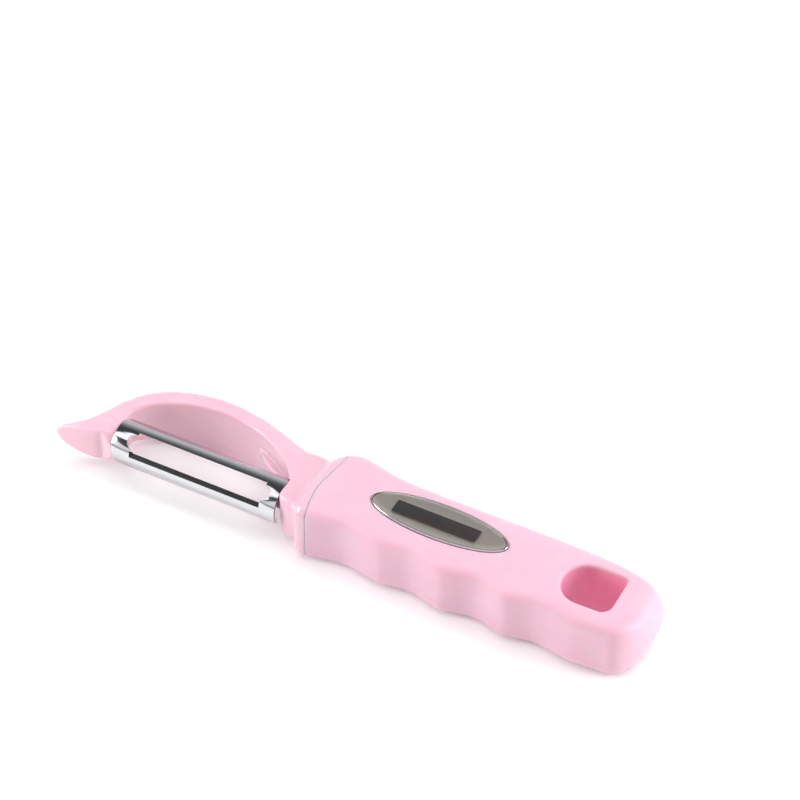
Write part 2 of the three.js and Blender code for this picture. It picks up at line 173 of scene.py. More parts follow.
def new_piece(name, vertices, faces):
    data = bpy.data.meshes.new(name)
    data.from_pydata([tuple(v) for v in vertices], [], faces)
    data.update()
    piece = bpy.data.objects.new(name, data)
    bpy.context.scene.collection.objects.link(piece)
    return piece


def loft(name, rings):
    """A closed skin over rings of equal length.

    A ring turns from +Y towards +Z where the rings run along +X.
    """
    count = len(rings[0])
    faces = []
    for start in range(0, (len(rings) - 1) * count, count):
        for i in range(count):
            a, b = start + i, start + (i + 1) % count
            faces.append((a, b, b + count, a + count))
    faces.append(tuple(reversed(range(count))))
    faces.append(tuple(range((len(rings) - 1) * count, len(rings) * count)))
    return new_piece(name, [p for ring in rings for p in ring], faces)


def prism(name, outline, low, high):
    """An outline of (x, y) points, turning from +X towards +Y, drawn up from low to high."""
    return loft(name, [[(x, y, z) for x, y in outline] for z in (low, high)])


def extruded(name, outline, start, end):
    """An outline of (y, z) points, turning from +Y towards +Z, drawn along X."""
    return loft(name, [[(x, y, z) for y, z in outline] for x in (start, end)])


def bake(piece):
    """Makes the piece's modifiers part of its mesh."""
    shaped = piece.evaluated_get(bpy.context.evaluated_depsgraph_get())
    plain = piece.data
    baked = bpy.data.meshes.new_from_object(shaped)
    piece.modifiers.clear()
    piece.data = baked
    bpy.data.meshes.remove(plain)
    return piece


def combine(piece, tool, operation):
    boolean = piece.modifiers.new(operation, "BOOLEAN")
    boolean.operation = operation
    boolean.solver = "EXACT"
    boolean.object = tool
    bake(piece)
    bpy.data.objects.remove(tool)
    return piece


def cut(piece, *tools):
    for tool in tools:
        combine(piece, tool, "DIFFERENCE")
    return piece


def pile(name, pieces):
    """One object that holds all the pieces' surfaces, for mould() to melt into one."""
    vertices, faces = [], []
    for piece in pieces:
        first = len(vertices)
        vertices += [v.co.copy() for v in piece.data.vertices]
        faces += [tuple(first + i for i in face.vertices) for face in piece.data.polygons]
        bpy.data.objects.remove(piece)
    return new_piece(name, vertices, faces)


def mould(piece, voxel, rounds):
    """An even skin over the piece, with its edges softened as a moulding's are."""
    remesh = piece.modifiers.new("skin", "REMESH")
    remesh.mode = "VOXEL"
    remesh.voxel_size = voxel
    soften = piece.modifiers.new("soften", "SMOOTH")
    soften.factor = 0.5
    soften.iterations = rounds
    return bake(piece)


def bevel(piece, width):
    edge = piece.modifiers.new("edge", "BEVEL")
    edge.width = width
    edge.segments = 2
    edge.limit_method = "ANGLE"
    edge.angle_limit = math.radians(35)
    return bake(piece)


def shade(piece, sharp_angle):
    """Smooth shading that stays crisp at edges sharper than the angle, in degrees."""
    piece.data.shade_smooth()
    piece.data.set_sharp_from_angle(angle=math.radians(sharp_angle))


def settle(piece, node, body, slot, *looks, marks=()):
    """Puts a finished piece in the frame in place of a CAD node. The marks give each face's look."""
    piece.data.transform(TO_FRAME)
    piece.data.materials.clear()
    for look in looks:
        piece.data.materials.append(look)
    for face, mark in zip(piece.data.polygons, marks):
        face.material_index = mark
    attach(piece, body)
    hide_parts(node)


def lerp(a, b, t):
    return a + (b - a) * t


def smooth_step(t):
    return t * t * (3 - 2 * t)


def stretch_at(points, x):
    """Which stretch between two points x is in, and how far along it, from 0 to 1."""
    i = 0
    while i < len(points) - 2 and x > points[i + 1][0]:
        i += 1
    start, end = points[i][0], points[i + 1][0]
    return i, min(max((x - start) / (end - start), 0), 1)


def curve_through(points):
    """A smooth f(x) through points in rising x. Each point may carry several values."""

    def slope(i):
        a, b = points[max(i - 1, 0)], points[min(i + 1, len(points) - 1)]
        return [(v - u) / (b[0] - a[0]) for u, v in zip(a[1:], b[1:])]

    def value(x):
        i, t = stretch_at(points, x)
        a, b = points[i], points[i + 1]
        bend = (b[0] - a[0]) * t * (1 - t)
        ends = zip(a[1:], b[1:], slope(i), slope(i + 1))
        return [lerp(u, v, smooth_step(t)) + bend * ((1 - t) * m - t * n) for u, v, m, n in ends]

    return value


def finger_edge(x):
    """The near edge: scooped grooves that meet in narrower ridges."""
    i, t = stretch_at(FINGER_EDGE, x)
    ridge, groove, from_ridge = FINGER_EDGE[i][1], FINGER_EDGE[i + 1][1], t
    if i % 2:
        ridge, groove, from_ridge = groove, ridge, 1 - t
    fall = lerp(smooth_step(from_ridge), 1 - (1 - from_ridge) ** 2, RIDGE_SHARPNESS)
    return lerp(ridge, groove, fall)


def rounded(near, far, low, high, near_corner, far_corner):
    """A rounded rectangle's (across, up) points, from the far side turning upwards."""
    points = []
    corners = [
        (far, high, far_corner), (near, high, near_corner),
        (near, low, near_corner), (far, low, far_corner),
    ]
    shortest_flat = 0.02
    largest = (min(far - near, high - low) - shortest_flat) / 2
    for quarter, (side, level, radius) in enumerate(corners):
        r = min(radius, largest)
        across = side - r if side == far else side + r
        up = level - r if level == high else level + r
        for i in range(CORNER_STEPS + 1):
            angle = (quarter + i / CORNER_STEPS) * math.pi / 2
            points.append((across + r * math.cos(angle), up + r * math.sin(angle)))
    return points


def section(x, near, far, half_height, corner):
    flat = rounded(near, far, MID_Z - half_height, MID_Z + half_height, corner, corner)
    return [(x, y, z) for y, z in flat]


def stations_loft(name, stations, steps):
    """A smooth bar through sections, each given as x and the rest of what section() takes."""
    shape = curve_through(stations)
    first, last = stations[0][0], stations[-1][0]
    places = [lerp(first, last, k / steps) for k in range(steps + 1)]
    return loft(name, [section(x, *shape(x)) for x in places])


def arc(centre_x, centre_y, radius, start, end, steps=12):
    """Points of an arc between two angles in quarter turns."""
    angles = [lerp(start, end, i / steps) * math.pi / 2 for i in range(steps + 1)]
    return [(centre_x + radius * math.cos(a), centre_y + radius * math.sin(a)) for a in angles]


def lathe(name, profile):
    """A solid turned about the blade's axis, from (x, radius) points in rising x."""
    turns = [i / ROUND_STEPS * 2 * math.pi for i in range(ROUND_STEPS)]
    rings = []
    for x, r in profile:
        rings.append([(x, AXIS_Y + r * math.cos(a), MID_Z + r * math.sin(a)) for a in turns])
    return loft(name, rings)


def bow_seam(piece, reach):
    """Curves both faces of the seam alike. The curve dies away over `reach` millimetres of X."""
    for vertex in piece.data.vertices:
        x, y, _ = vertex.co
        across = min(abs(y - SEAM_BOW["middle"]) / SEAM_BOW["half_width"], 1)
        near_seam = max(0, 1 - abs(x - SEAM_X) / reach)
        vertex.co.x -= SEAM_BOW["depth"] * smooth_step(1 - across) * smooth_step(near_seam)


# ---------------------------------------------------------------- pieces


def hole_cutter():
    """The D-shaped hole, flared at both openings so that its rims come out round."""
    x, y, r = HOLE["x"], HOLE["y"], HOLE["radius"]
    flat_x, near_r, far_r = HOLE["flat_x"], HOLE["near_corner"], HOLE["far_corner"]
    outline = arc(x, y, r, 1, 3, steps=40)
    outline += arc(flat_x - near_r, y - r + near_r, near_r, 3, 4)
    outline += arc(flat_x - far_r, y + r - far_r, far_r, 0, 1)

    def flared(level):
        ring = []
        to_face = min(level, HANDLE_HEIGHT - level)
        for i, (px, py) in enumerate(outline):
            before, after = outline[i - 1], outline[(i + 1) % len(outline)]
            out = Vector((after[1] - before[1], before[0] - after[0])).normalized()
            tip_side = x - r
            butt_side = min(max((px - tip_side) / (flat_x - tip_side), 0), 1)
            radius = lerp(HOLE_RIM["soft"], HOLE_RIM["crisp"], butt_side)
            depth = min(max(radius - to_face, 0), radius)
            flare = radius - math.sqrt(radius * radius - depth * depth)
            if to_face < 0:
                flare -= to_face
            ring.append((px + out.x * flare, py + out.y * flare, level))
        return ring

    rim, past = HOLE_RIM["soft"], 0.6
    lip = [rim * (1 - math.cos(i / LIP_STEPS * math.pi / 2)) for i in range(LIP_STEPS + 1)]
    top_lip = [HANDLE_HEIGHT - level for level in reversed(lip)]
    levels = [-past] + lip + top_lip + [HANDLE_HEIGHT + past]
    return loft("hole cutter", [flared(level) for level in levels])


def on_hole_wall(point):
    """Whether a point of the grip is on the hang hole's wall, away from both rims, where the painted
    glow goes.
    """
    x, y, z = point
    margin = 0.6
    reach = HOLE["radius"] + margin
    along = HOLE["x"] - reach < x < HOLE["flat_x"] + margin
    across = abs(y - HOLE["y"]) < reach
    return along and across and HOLE_PAINTED_GLOW_DEPTH < z < HANDLE_HEIGHT - HOLE_PAINTED_GLOW_DEPTH


def oval(name, profile):
    """An elliptical disc from (inset from the badge's outline, z) points, from the bottom up."""
    turns = [i / OVAL_STEPS * 2 * math.pi for i in range(OVAL_STEPS)]
    rings = []
    for inset, z in profile:
        a, b = BADGE["half_length"] - inset, BADGE["half_width"] - inset
        rings.append([(a * math.cos(turn), b * math.sin(turn), z) for turn in turns])
    return loft(name, rings)


def grip_block():
    """The handle's outer shape, still solid."""
    spine = curve_through(SPINE_EDGE)
    start, straight_end = SEAM_X + SEAM_GAP, BUTT_X - BUTT_ROUND["x"]
    rings = []
    for k in range(GRIP_STEPS + 1):
        x = lerp(start, straight_end, k / GRIP_STEPS)
        rings.append(section(x, finger_edge(x), spine(x)[0], MID_Z, HANDLE_CORNER))
    power = BUTT_ROUND["power"]
    for k in range(1, BUTT_STEPS + 1):
        along = math.sin(k / BUTT_STEPS * math.pi / 2)
        inward = 1 - (1 - along ** power) ** (1 / power)
        x = straight_end + BUTT_ROUND["x"] * along
        near = finger_edge(x) + BUTT_ROUND["near"] * inward
        far = spine(x)[0] - BUTT_ROUND["far"] * inward
        rings.append(section(x, near, far, MID_Z - BUTT_ROUND["z"] * inward, HANDLE_CORNER))
    return loft("grip_moulding", rings)


def cavity_cutter():
    half = MID_Z - CAVITY["low"]
    rings = []
    for i, x in enumerate((SEAM_X - PAST, CAVITY["end"])):
        rings.append(section(x, CAVITY["near"][i], CAVITY["far"][i], half, CAVITY["corner"]))
    return loft("cavity cutter", rings)


def recess_cutter():
    """The badge's recess, with a chamfer round its opening."""
    chamfer, above = RECESS["chamfer"], 0.7
    return oval("recess cutter", [
        (-FIT_GAP, RECESS["floor"]),
        (-FIT_GAP, HANDLE_HEIGHT - chamfer),
        (-FIT_GAP - chamfer, HANDLE_HEIGHT),
        (-PAST, HANDLE_HEIGHT + above),
    ])


def make_grip():
    grip = cut(grip_block(), cavity_cutter(), hole_cutter())
    mould(grip, GRIP_VOXEL, rounds=7)
    bow_seam(grip, reach=8)
    cut(grip, recess_cutter())
    shade(grip, sharp_angle=40)
    # The hang hole's wall gets the painted glow, a deeper pink in place of the light that comes through
    # the plastic.
    marks = [1 if on_hole_wall(face.center) else 0 for face in grip.data.polygons]
    looks = satin_plastic(), painted_glow_plastic()
    settle(grip, "handle_grip", "frame", "grip_plastic", *looks, marks=marks)


def arch_ring(inner, outer, t):
    out, width = (outer - inner).normalized(), (outer - inner).length
    half = lerp(*ARCH_HALF_HEIGHT, t)
    mid_span = math.sin(math.pi * t)
    low, high = MID_Z - half - ARCH_DROP * mid_span, MID_Z + half
    inner_corner = lerp(*ARCH_INNER_CORNER, smooth_step(min(t * ARCH_CORNER_PACE, 1)))
    ring = []
    for distance, z in rounded(0, width, low, high, inner_corner, ARCH_SPINE_CORNER):
        lean = ARCH_LEAN * mid_span * (1 - distance / width) * (high - z) / (high - low)
        ring.append((inner.x + out.x * (distance - lean), inner.y + out.y * (distance - lean), z))
    return ring


def make_arch():
    """The bridge over the blade. Both its sides run over the point number, so they stay matched."""
    indexed = [[(i, *p) for i, p in enumerate(side)] for side in (ARCH_INNER, ARCH_OUTER)]
    inner, outer = [curve_through(side) for side in indexed]
    last = len(ARCH_INNER) - 1
    rings = []
    for k in range(ARCH_STEPS + 1):
        t = k / ARCH_STEPS
        rings.append(arch_ring(Vector(inner(t * last)), Vector(outer(t * last)), t))
    return loft("arch", rings)


def make_web():
    """The thin web between the arch and the neck."""
    edge = curve_through(WEB["edge"])
    first, last = WEB["edge"][0][0], WEB["edge"][-1][0]
    places = [lerp(first, last, i / WEB_STEPS) for i in range(WEB_STEPS + 1)]
    front = [(x, edge(x)[0]) for x in places]
    half = WEB["half_thickness"]
    return prism("web", front + WEB["back"], MID_Z - half, MID_Z + half)


def make_stop():
    """The block on the neck that a leg of the blade meets at each end of its swing."""
    half = STOP["half_angle"] / 90
    outline = arc(AXIS_Y, MID_Z, STOP["outer"], -half, half)
    outline += arc(AXIS_Y, MID_Z, STOP["inner"], half, -half)
    reach = STOP["length"]
    return bevel(extruded("stop", outline, NECK_FRONT - reach, NECK_FRONT + reach), width=0.2)


def make_tang():
    """The ribbed tang inside the handle."""

    def bar(name, sizes, start, end):
        shape = [sizes[key] for key in ("near", "far", "half_height", "corner")]
        return loft(name, [section(x, *shape) for x in (start, end)])

    parts = [bar("tang", TANG, SEAM_X - PAST, TANG["rear"])]
    for i in range(TANG_RIBS["count"]):
        x = TANG_RIBS["first"] + i * TANG_RIBS["pitch"]
        parts.append(bar("rib", TANG_RIBS, x, x + TANG_RIBS["thickness"]))
    return parts


def chin_cutter():
    """Rounds the lower front corner of the neck, beside the blade."""
    r, low = NECK_CHIN["radius"], MID_Z - NECK_STATIONS[0][3]
    front, below = NECK_FRONT - PAST, low - PAST
    outline = [(front, below), (NECK_FRONT + r, below)]
    outline += arc(NECK_FRONT + r, low + r, r, 3, 2)
    outline.append((front, low + r))
    rings = [[(x, y, z) for x, z in outline] for y in (NECK_CHIN["far"], -HANDLE_HEIGHT)]
    return loft("chin cutter", rings)


def pin_bores():
    """The blind bore in the tip, and the one through the neck that widens for the rear pin's head."""
    bore, wide = PIN_HOLE_RADIUS, REAR_PIN["head_radius"] + FIT_GAP
    front = [(FRONT_PIN[0] - PIN_PLAY, bore), (TIP_REAR + PAST, bore)]
    seat = REAR_PIN["to"] - REAR_PIN["head_length"] - PIN_PLAY
    shoulder = 0.01
    rear = [(NECK_FRONT - 2 * PAST, bore), (seat, bore)]
    rear += [(seat + shoulder, wide), (TANG["rear"] + PAST, wide)]
    return lathe("front bore", front), lathe("rear bore", rear)


def make_head():
    neck = cut(stations_loft("neck", NECK_STATIONS, NECK_STEPS), chin_cutter())
    tip = stations_loft("tip", TIP_STATIONS, TIP_STEPS)
    head = pile("head_moulding", [neck, tip, make_arch(), make_web(), *make_tang()])
    mould(head, HEAD_VOXEL, rounds=4)
    bow_seam(head, reach=6)
    room = BLADE["radius"] + FIT_GAP
    cut(head, lathe("blade room", [(TIP_REAR, room), (NECK_FRONT, room)]))
    combine(head, make_stop(), "UNION")
    cut(head, *pin_bores())
    shade(head, sharp_angle=50)
    settle(head, "head_frame", "frame", "head_plastic", gloss_plastic())


# The blade is made about its own axis, with the slot's middle on +Y, and turned into place at the end.


def half_tube():
    radius, inside = BLADE["radius"], BLADE["radius"] - BLADE["wall"]
    outline = arc(0, 0, radius, -1, 1, steps=96) + arc(0, 0, inside, 1, -1, steps=96)
    return extruded("swivel_blade", outline, BLADE["front"], BLADE["rear"])


def end_tab(start):
    half, top = TAB["half_width"], BLADE["radius"] - BLADE["wall"] + TAB["overlap"]
    outline = [(top, -half), (top, half)] + arc(0, 0, half, 1, 3, steps=24)
    return extruded("tab", outline, start, start + BLADE["wall"])


def front_corner_cutter():
    r, reach = BLADE["corner"], BLADE["radius"] + PAST
    front, centre_x = BLADE["front"] - PAST, BLADE["front"] + r
    outline = [(front, r), (front, -PAST), (centre_x, -PAST)] + arc(centre_x, r, r, 3, 2, steps=24)
    return prism("corner cutter", outline, -reach, reach)


def slot_cutter():
    start, stop, half, end = SLOT["from"], SLOT["to"], SLOT["width"] / 2, SLOT["end_width"] / 2
    outline = arc(SLOT["end_from"] + end, 0, end, 1, 3, steps=20)
    outline += [(start, -end), (start, -half), (stop, -half), (stop, -end)]
    outline += arc(SLOT["end_to"] - end, 0, end, -1, 1, steps=20)
    outline += [(stop, end), (stop, half), (start, half), (start, end)]
    rings = [[(x, y, -z) for x, z in outline] for y in (BLADE["wall"], BLADE["radius"] + PAST)]
    return loft("slot cutter", rings)


def facet_cutter():
    start, stop, top = SLOT["from"] - GROUND["lead"], SLOT["to"], BLADE["radius"] + PAST
    outline = [(start, GROUND["level"]), (stop, GROUND["level"]), (stop, top), (start, top)]
    inside_slot, short_of_edge = 1, BLADE["radius"] - 1
    cutter = prism("facet cutter", outline, inside_slot, short_of_edge)
    cutter.data.transform(Matrix.Rotation(GROUND["tilt"], 4, "X"))
    return cutter


def on_ground_facet(face):
    tilt, thickness, facing_out = GROUND["tilt"], 0.02, 0.97
    level = face.center.y * math.cos(tilt) + face.center.z * math.sin(tilt)
    return abs(level - GROUND["level"]) < thickness and face.normal.y > facing_out


def make_blade():
    blade = cut(half_tube(), front_corner_cutter())
    for start in (BLADE["front"], BLADE["rear"] - BLADE["wall"]):
        combine(blade, end_tab(start), "UNION")
    ends = BLADE["front"] - PAST, BLADE["rear"] + PAST
    bore = lathe("tab bore", [(x, PIN_HOLE_RADIUS) for x in ends])
    bore.data.transform(Matrix.Translation((0, -AXIS_Y, -MID_Z)))
    cut(blade, slot_cutter(), facet_cutter(), bore)
    bevel(blade, width=0.09)
    marks = [1 if on_ground_facet(face) else 0 for face in blade.data.polygons]
    shade(blade, sharp_angle=28)
    for face, mark in zip(blade.data.polygons, marks):
        face.use_smooth = mark == 0
    turn = Matrix.Translation((0, AXIS_Y, MID_Z)) @ Matrix.Rotation(BLADE_TURN, 4, "X")
    blade.data.transform(turn)
    settle(blade, "blade", "blade", "blade_steel", blade_steel(), ground_steel(), marks=marks)


def front_pin():
    chamfer, r = PIN_CHAMFER, PIN_RADIUS
    start, end = FRONT_PIN
    profile = [(start, r - chamfer), (start + chamfer, r), (end - chamfer, r), (end, r - chamfer)]
    return lathe("front_pin", profile)


def rear_pin():
    chamfer, r = PIN_CHAMFER, PIN_RADIUS
    start, end = REAR_PIN["from"], REAR_PIN["to"]
    head, wide, shoulder = end - REAR_PIN["head_length"], REAR_PIN["head_radius"], 0.05
    profile = [(start, r - chamfer), (start + chamfer, r), (head, r), (head + shoulder, wide - chamfer)]
    profile += [(head + chamfer, wide), (end - chamfer, wide), (end, wide - 2 * chamfer)]
    return lathe("rear_pin", profile)


def make_pins():
    for pin, node in ((front_pin(), "front_pivot_pin"), (rear_pin(), "rear_pivot_pin")):
        shade(pin, sharp_angle=30)
        settle(pin, node, "frame", "pin_steel", pin_steel())


def make_badge():
    top, radius, chamfer = BADGE["top"], BADGE["rim"] / 2, BADGE["chamfer"]
    bottom, side, dished = BADGE["bottom"], top - radius, top - BADGE["dish"]
    crown = [i / RIM_STEPS * math.pi for i in range(RIM_STEPS + 1)]
    bead = [(radius * (1 - math.cos(a)), side + radius * math.sin(a)) for a in crown]
    bead = [(inset, z) for inset, z in bead if inset < radius or z > dished]
    bottom_inset, rim_inset = 0.5, bead[-1][0]
    face_insets = rim_inset + 0.12, 3, 6.9
    profile = [(bottom_inset, bottom), (chamfer, bottom), (0, bottom + chamfer)] + bead
    profile += [(inset, dished) for inset in face_insets]
    badge = oval("badge_oval", profile)
    shade(badge, sharp_angle=45)

    face_inset = rim_inset + 0.1
    a, b = BADGE["half_length"] - face_inset, BADGE["half_width"] - face_inset
    marks = []
    for face in badge.data.polygons:
        inside = (face.center.x / a) ** 2 + (face.center.y / b) ** 2 < 1
        marks.append(0 if inside and face.center.z > side else 1)
    settle(badge, "badge_plate", "frame", "badge_steel", badge_face(), badge_rim(), marks=marks)


def make_adhesive():
    inset, low, high, soft = ADHESIVE["inset"], ADHESIVE["low"], ADHESIVE["high"], 0.05
    film = [(inset + soft, low), (inset, low + soft), (inset, high - soft), (inset + soft, high)]
    adhesive = oval("adhesive_film", film)
    shade(adhesive, sharp_angle=30)
    settle(adhesive, "badge_adhesive", "frame", "adhesive", adhesive_foam())


def make_panel():
    x, y, r = PANEL["x"], PANEL["y"], PANEL["corner"]
    a, b = PANEL["length"] / 2 - r, PANEL["width"] / 2 - r
    outline = arc(x + a, y + b, r, 0, 1) + arc(x - a, y + b, r, 1, 2)
    outline += arc(x - a, y - b, r, 2, 3) + arc(x + a, y - b, r, 3, 4)
    panel = prism("label_panel", outline, PANEL["low"], PANEL["high"])
    bevel(panel, width=0.05)
    shade(panel, sharp_angle=30)
    settle(panel, "badge_panel", "frame", "badge_ink", panel_ink())


# ---------------------------------------------------------------- materials


def start_look(name, **sockets):
    """A Principled material. The sockets given are the ones that are the same all over."""
    look = bpy.data.materials.new(name)
    look.use_nodes = True
    shader = look.node_tree.nodes["Principled BSDF"]
    for key, value in sockets.items():
        shader.inputs[key.replace("_", " ")].default_value = value
    return look, look.node_tree, shader


def add(tree, kind, **inputs):
    """A shader node, with each input set to a value or linked to another node's output."""
    node = tree.nodes.new("ShaderNode" + kind)
    for key, value in inputs.items():
        socket = node.inputs[key.replace("_", " ")]
        if isinstance(value, bpy.types.NodeSocket):
            tree.links.new(value, socket)
        else:
            socket.default_value = value
    return node


def grain(tree, size, detail, stretch=(1, 1, 1)):
    """Noise in lumps of about `size` millimetres, drawn out by `stretch` along each axis."""
    place = add(tree, "TexCoord").outputs["Object"]
    scale = tuple(1 / (size * MM * s) for s in stretch)
    scaled = add(tree, "Mapping", Vector=place, Scale=scale).outputs["Vector"]
    return add(tree, "TexNoise", Vector=scaled, Scale=1.0, Detail=detail).outputs["Fac"]


def spread(tree, value, low, high, from_low=0.35, from_high=0.65):
    """A value's range from_low..from_high, drawn out to low..high. As given, it suits a noise."""
    ends = {"From_Min": from_low, "From_Max": from_high, "To_Min": low, "To_Max": high}
    return add(tree, "MapRange", Value=value, **ends).outputs["Result"]


def mixed(tree, factor, first, second):
    """Two colours or colour outputs, mixed by a factor."""
    node = tree.nodes.new("ShaderNodeMix")
    node.data_type = "RGBA"
    tree.links.new(factor, node.inputs["Factor"])
    for socket, colour in zip([s for s in node.inputs if s.type == "RGBA"], (first, second)):
        if isinstance(colour, bpy.types.NodeSocket):
            tree.links.new(colour, socket)
        else:
            socket.default_value = (*colour, 1)
    return [s for s in node.outputs if s.type == "RGBA"][0]


def bumped(tree, shader, *layers):
    """Bump from (height value, depth in millimetres) layers, one on another."""
    normal = None
    for height, depth in layers:
        node = add(tree, "Bump", Height=height, Strength=1.0, Distance=depth * MM)
        if normal:
            tree.links.new(normal, node.inputs["Normal"])
        normal = node.outputs["Normal"]
    tree.links.new(normal, shader.inputs["Normal"])


def plastic(name, colour, pale, roughness, grain_depth, **sockets):
    """Pink injection-moulded plastic.

    It has a cloudy colour, handling wear in its gloss, fine moulded grain and flow waves.
    """
    look, tree, shader = start_look(name, IOR=1.5, Subsurface_Weight=0.7, Subsurface_Scale=0.0035,
                                    Subsurface_Radius=(1.0, 0.28, 0.34), **sockets)
    cloud = spread(tree, grain(tree, size=14, detail=3), 0, 1)
    fleck = spread(tree, grain(tree, size=0.6, detail=2), 0, 0.12, from_low=0.55, from_high=0.75)
    tint = mixed(tree, cloud, colour, pale)
    darker = tuple(c * 0.93 for c in colour)
    tree.links.new(mixed(tree, fleck, tint, darker), shader.inputs["Base Color"])
    worn = grain(tree, size=5, detail=6, stretch=(3, 1, 1))
    tree.links.new(spread(tree, worn, *roughness), shader.inputs["Roughness"])
    waves = grain(tree, size=9, detail=1, stretch=(1.6, 1, 1))
    fine = grain(tree, size=0.22, detail=3)
    bumped(tree, shader, (waves, 0.02), (fine, grain_depth))
    return look


def gloss_plastic():
    return plastic("gloss pink plastic", (0.84, 0.53, 0.635), (0.86, 0.565, 0.665),
                   roughness=(0.15, 0.24), grain_depth=0.0008, Coat_Weight=0.5, Coat_Roughness=0.06)


def satin_plastic():
    return plastic("satin pink plastic", (0.83, 0.52, 0.635), (0.85, 0.55, 0.66),
                   roughness=(0.34, 0.46), grain_depth=0.004)


def painted_glow_plastic():
    """The hang hole's wall, with a painted glow: a deeper, redder pink that stands in for the light
    that comes to it through the plastic.
    """
    return plastic("pink plastic with painted glow", (0.99, 0.42, 0.6), (0.99, 0.47, 0.645),
                   roughness=(0.34, 0.46), grain_depth=0.004)


def steel(name, pale, dark, roughness, size, stretch, depth):
    """Steel with fine lines along its stretch, and faint smudges."""
    look, tree, shader = start_look(name, Metallic=1.0)
    lines = grain(tree, size, detail=5, stretch=stretch)
    cloud = grain(tree, size=4, detail=3)
    tone = mixed(tree, spread(tree, lines, 0, 1), pale, dark)
    smudged = mixed(tree, spread(tree, cloud, 0, 0.25), tone, dark)
    tree.links.new(smudged, shader.inputs["Base Color"])
    tree.links.new(spread(tree, lines, *roughness), shader.inputs["Roughness"])
    bumped(tree, shader, (lines, depth))
    return look


def blade_steel():
    return steel("polished blade steel", (0.72, 0.73, 0.74), (0.6, 0.61, 0.63),
                 roughness=(0.09, 0.16), size=0.12, stretch=(60, 1, 1), depth=0.0006)


def ground_steel():
    return steel("ground edge steel", (0.42, 0.41, 0.4), (0.28, 0.27, 0.27),
                 roughness=(0.1, 0.2), size=0.1, stretch=(1, 14, 14), depth=0.001)


def pin_steel():
    return steel("turned pin steel", (0.6, 0.6, 0.61), (0.48, 0.48, 0.5),
                 roughness=(0.2, 0.32), size=0.1, stretch=(1, 6, 6), depth=0.001)


def badge_rim():
    return steel("polished badge rim", (0.8, 0.79, 0.77), (0.68, 0.66, 0.64),
                 roughness=(0.07, 0.13), size=0.3, stretch=(3, 3, 1), depth=0.0008)


def badge_face():
    """Brushed stainless with a warm cast and a fine speckle."""
    look, tree, shader = start_look("brushed badge steel", Metallic=1.0)
    lines = grain(tree, size=0.1, detail=5, stretch=(25, 1, 1))
    speckle = grain(tree, size=0.28, detail=6)
    tone = mixed(tree, spread(tree, lines, 0, 1), (0.95, 0.87, 0.79), (0.84, 0.765, 0.69))
    specks = spread(tree, speckle, 0, 0.7, from_low=0.5, from_high=0.68)
    speckled = mixed(tree, specks, tone, (0.66, 0.6, 0.54))
    tree.links.new(speckled, shader.inputs["Base Color"])
    tree.links.new(spread(tree, speckle, 0.42, 0.58), shader.inputs["Roughness"])
    bumped(tree, shader, (lines, 0.002), (speckle, 0.004))
    return look


def panel_ink():
    look, tree, shader = start_look("printed dark ink", IOR=1.5)
    cloud = grain(tree, size=6, detail=3, stretch=(1.5, 1, 1))
    speckle = grain(tree, size=0.25, detail=5)
    tone = mixed(tree, spread(tree, cloud, 0, 1), (0.018, 0.022, 0.027), (0.036, 0.028, 0.024))
    specks = spread(tree, speckle, 0, 0.6, from_low=0.52, from_high=0.7)
    speckled = mixed(tree, specks, tone, (0.07, 0.065, 0.06))
    tree.links.new(speckled, shader.inputs["Base Color"])
    tree.links.new(spread(tree, speckle, 0.3, 0.5), shader.inputs["Roughness"])
    bumped(tree, shader, (speckle, 0.004))
    return look


def adhesive_foam():
    look, tree, shader = start_look("white foam adhesive", IOR=1.45)
    cells = grain(tree, size=0.3, detail=5)
    tone = mixed(tree, cells, (0.82, 0.8, 0.75), (0.7, 0.68, 0.62))
    tree.links.new(tone, shader.inputs["Base Color"])
    tree.links.new(spread(tree, cells, 0.75, 0.95), shader.inputs["Roughness"])
    bumped(tree, shader, (cells, 0.03))
    return look


def floor_look():
    look, tree, shader = start_look("matt white paper", IOR=1.4)
    fibre = grain(tree, size=1.2, detail=5)
    tone = mixed(tree, fibre, (0.92, 0.92, 0.92), (0.95, 0.95, 0.95))
    tree.links.new(tone, shader.inputs["Base Color"])
    tree.links.new(spread(tree, fibre, 0.75, 0.9), shader.inputs["Roughness"])
    shader.inputs["Emission Color"].default_value = (1, 1, 1, 1)
    shader.inputs["Emission Strength"].default_value = FLOOR_GLOW
    return look


# ---------------------------------------------------------------- stage
# Metres, in the frame.

CAMERA_TURN = math.radians(28)  # round to the butt's side from straight in front
CAMERA_RAISE = math.radians(44)  # above the horizon
CAMERA_DISTANCE = 0.8955
CAMERA_ASIDE = -0.01175  # of the badge's centre, so that the whole peeler is in view
CAMERA_ABOVE = 0.03637

STUDIO = [  # degrees from the far horizon, over the top, to the near one; light level
    (0, 1.1), (20, 1.05), (32, 0.75), (44, 0.38), (56, 0.18), (68, 0.11), (98, 0.1),
    (103, 2.4), (120, 2.4), (125, 0.1), (138, 0.1), (144, 1.6), (166, 1.5), (176, 0.6), (180, 0.6),
]
STUDIO_STRENGTH = 0.62  # in reflections
STUDIO_COOLNESS = 1.04  # blue to red
FILL_STRENGTH = 0.21  # on matt surfaces
FLOOR_GLOW = 0.1  # as of a lit table
FLOOR_LEVEL = -0.00005  # a hair below the rest plane
LIGHTS_AIM = (0, 0, 0.01)


def make_camera():
    camera = bpy.data.objects.new("camera", bpy.data.cameras.new("camera"))
    bpy.context.scene.collection.objects.link(camera)
    camera.rotation_euler = (math.pi / 2 - CAMERA_RAISE, 0, CAMERA_TURN)
    right, up, back = camera.rotation_euler.to_matrix().col
    target = Vector((badge_centre.x, badge_centre.y, HANDLE_HEIGHT * MM))
    camera.location = target + right * CAMERA_ASIDE + up * CAMERA_ABOVE + back * CAMERA_DISTANCE
    camera.data.lens = 135
    camera.data.sensor_width = 36
    camera.data.clip_start = 0.01
    bpy.context.scene.camera = camera


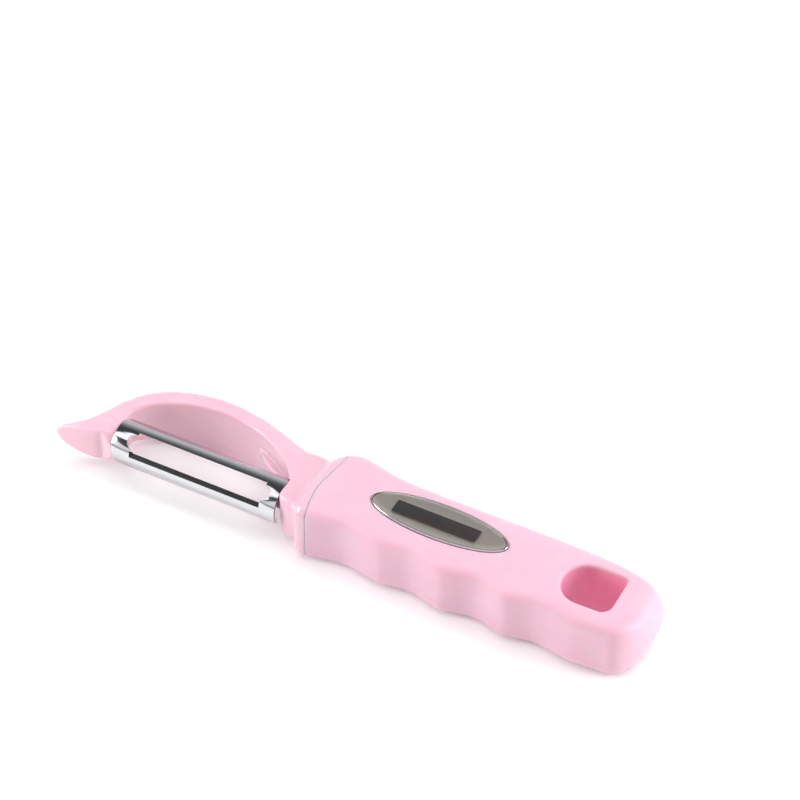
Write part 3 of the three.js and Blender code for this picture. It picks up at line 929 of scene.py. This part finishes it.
def make_floor():
    size = 3
    corners = [(-size, -size), (size, -size), (size, size), (-size, size)]
    floor = new_piece("floor", [(x, y, FLOOR_LEVEL) for x, y in corners], [(0, 1, 2, 3)])
    floor.data.materials.append(floor_look())


def make_light(name, place, width, height, watts, in_reflections=True):
    data = bpy.data.lights.new(name, "AREA")
    data.shape = "RECTANGLE"
    data.size, data.size_y = width, height
    data.energy = watts
    light = bpy.data.objects.new(name, data)
    bpy.context.scene.collection.objects.link(light)
    light.location = place
    light.rotation_euler = (Vector(place) - Vector(LIGHTS_AIM)).to_track_quat("Z", "Y").to_euler()
    light.visible_glossy = in_reflections


def make_world():
    """A plain studio.

    Reflections see light and dark bands that run along the peeler, matt surfaces an even fill, and
    the camera a white backdrop.
    """
    world = bpy.data.worlds.new("studio")
    world.use_nodes = True
    bpy.context.scene.world = world
    tree = world.node_tree
    background = tree.nodes["Background"]
    direction = add(tree, "TexCoord").outputs["Generated"]
    axes = add(tree, "SeparateXYZ", Vector=direction).outputs
    angle = tree.nodes.new("ShaderNodeMath")
    angle.operation = "ARCTAN2"
    tree.links.new(axes["Z"], angle.inputs[0])
    tree.links.new(axes["Y"], angle.inputs[1])
    half_turn = spread(tree, angle.outputs[0], 0.0, 1.0, from_low=0.0, from_high=math.pi)
    ramp = tree.nodes.new("ShaderNodeValToRGB")
    tree.links.new(half_turn, ramp.inputs["Fac"])
    stops = ramp.color_ramp.elements
    while len(stops) < len(STUDIO):
        stops.new(0.5)
    for stop, (degrees, level) in zip(stops, STUDIO):
        stop.position = degrees / 180
        stop.color = (level, level, level * STUDIO_COOLNESS, 1)
    background.inputs["Strength"].default_value = STUDIO_STRENGTH
    tree.links.new(ramp.outputs["Color"], background.inputs["Color"])
    rays = add(tree, "LightPath").outputs
    light = add(tree, "Background", Color=(1, 1, 1, 1), Strength=FILL_STRENGTH).outputs[0]
    backdrop = add(tree, "Background", Color=(1, 1, 1, 1), Strength=1.0).outputs[0]
    for kind, shown in (("Is Glossy Ray", background.outputs[0]), ("Is Camera Ray", backdrop)):
        both = tree.nodes.new("ShaderNodeMixShader")
        tree.links.new(rays[kind], both.inputs[0])
        tree.links.new(light, both.inputs[1])
        tree.links.new(shown, both.inputs[2])
        light = both.outputs[0]
    tree.links.new(light, tree.nodes["World Output"].inputs["Surface"])


def make_stage():
    make_camera()
    make_floor()
    make_world()
    make_light("top", (0.05, 0.2, 1.0), width=1.2, height=1.2, watts=10.4, in_reflections=False)
    make_light("left softbox", (-0.8, -0.45, 0.35), width=0.45, height=0.5, watts=6)
    make_light("right softbox", (0.9, 0.3, 0.35), width=0.5, height=0.6, watts=6.4)
    bpy.context.scene.view_settings.view_transform = "Standard"


make_head()
make_grip()
make_blade()
make_pins()
make_badge()
make_adhesive()
make_panel()
make_stage()
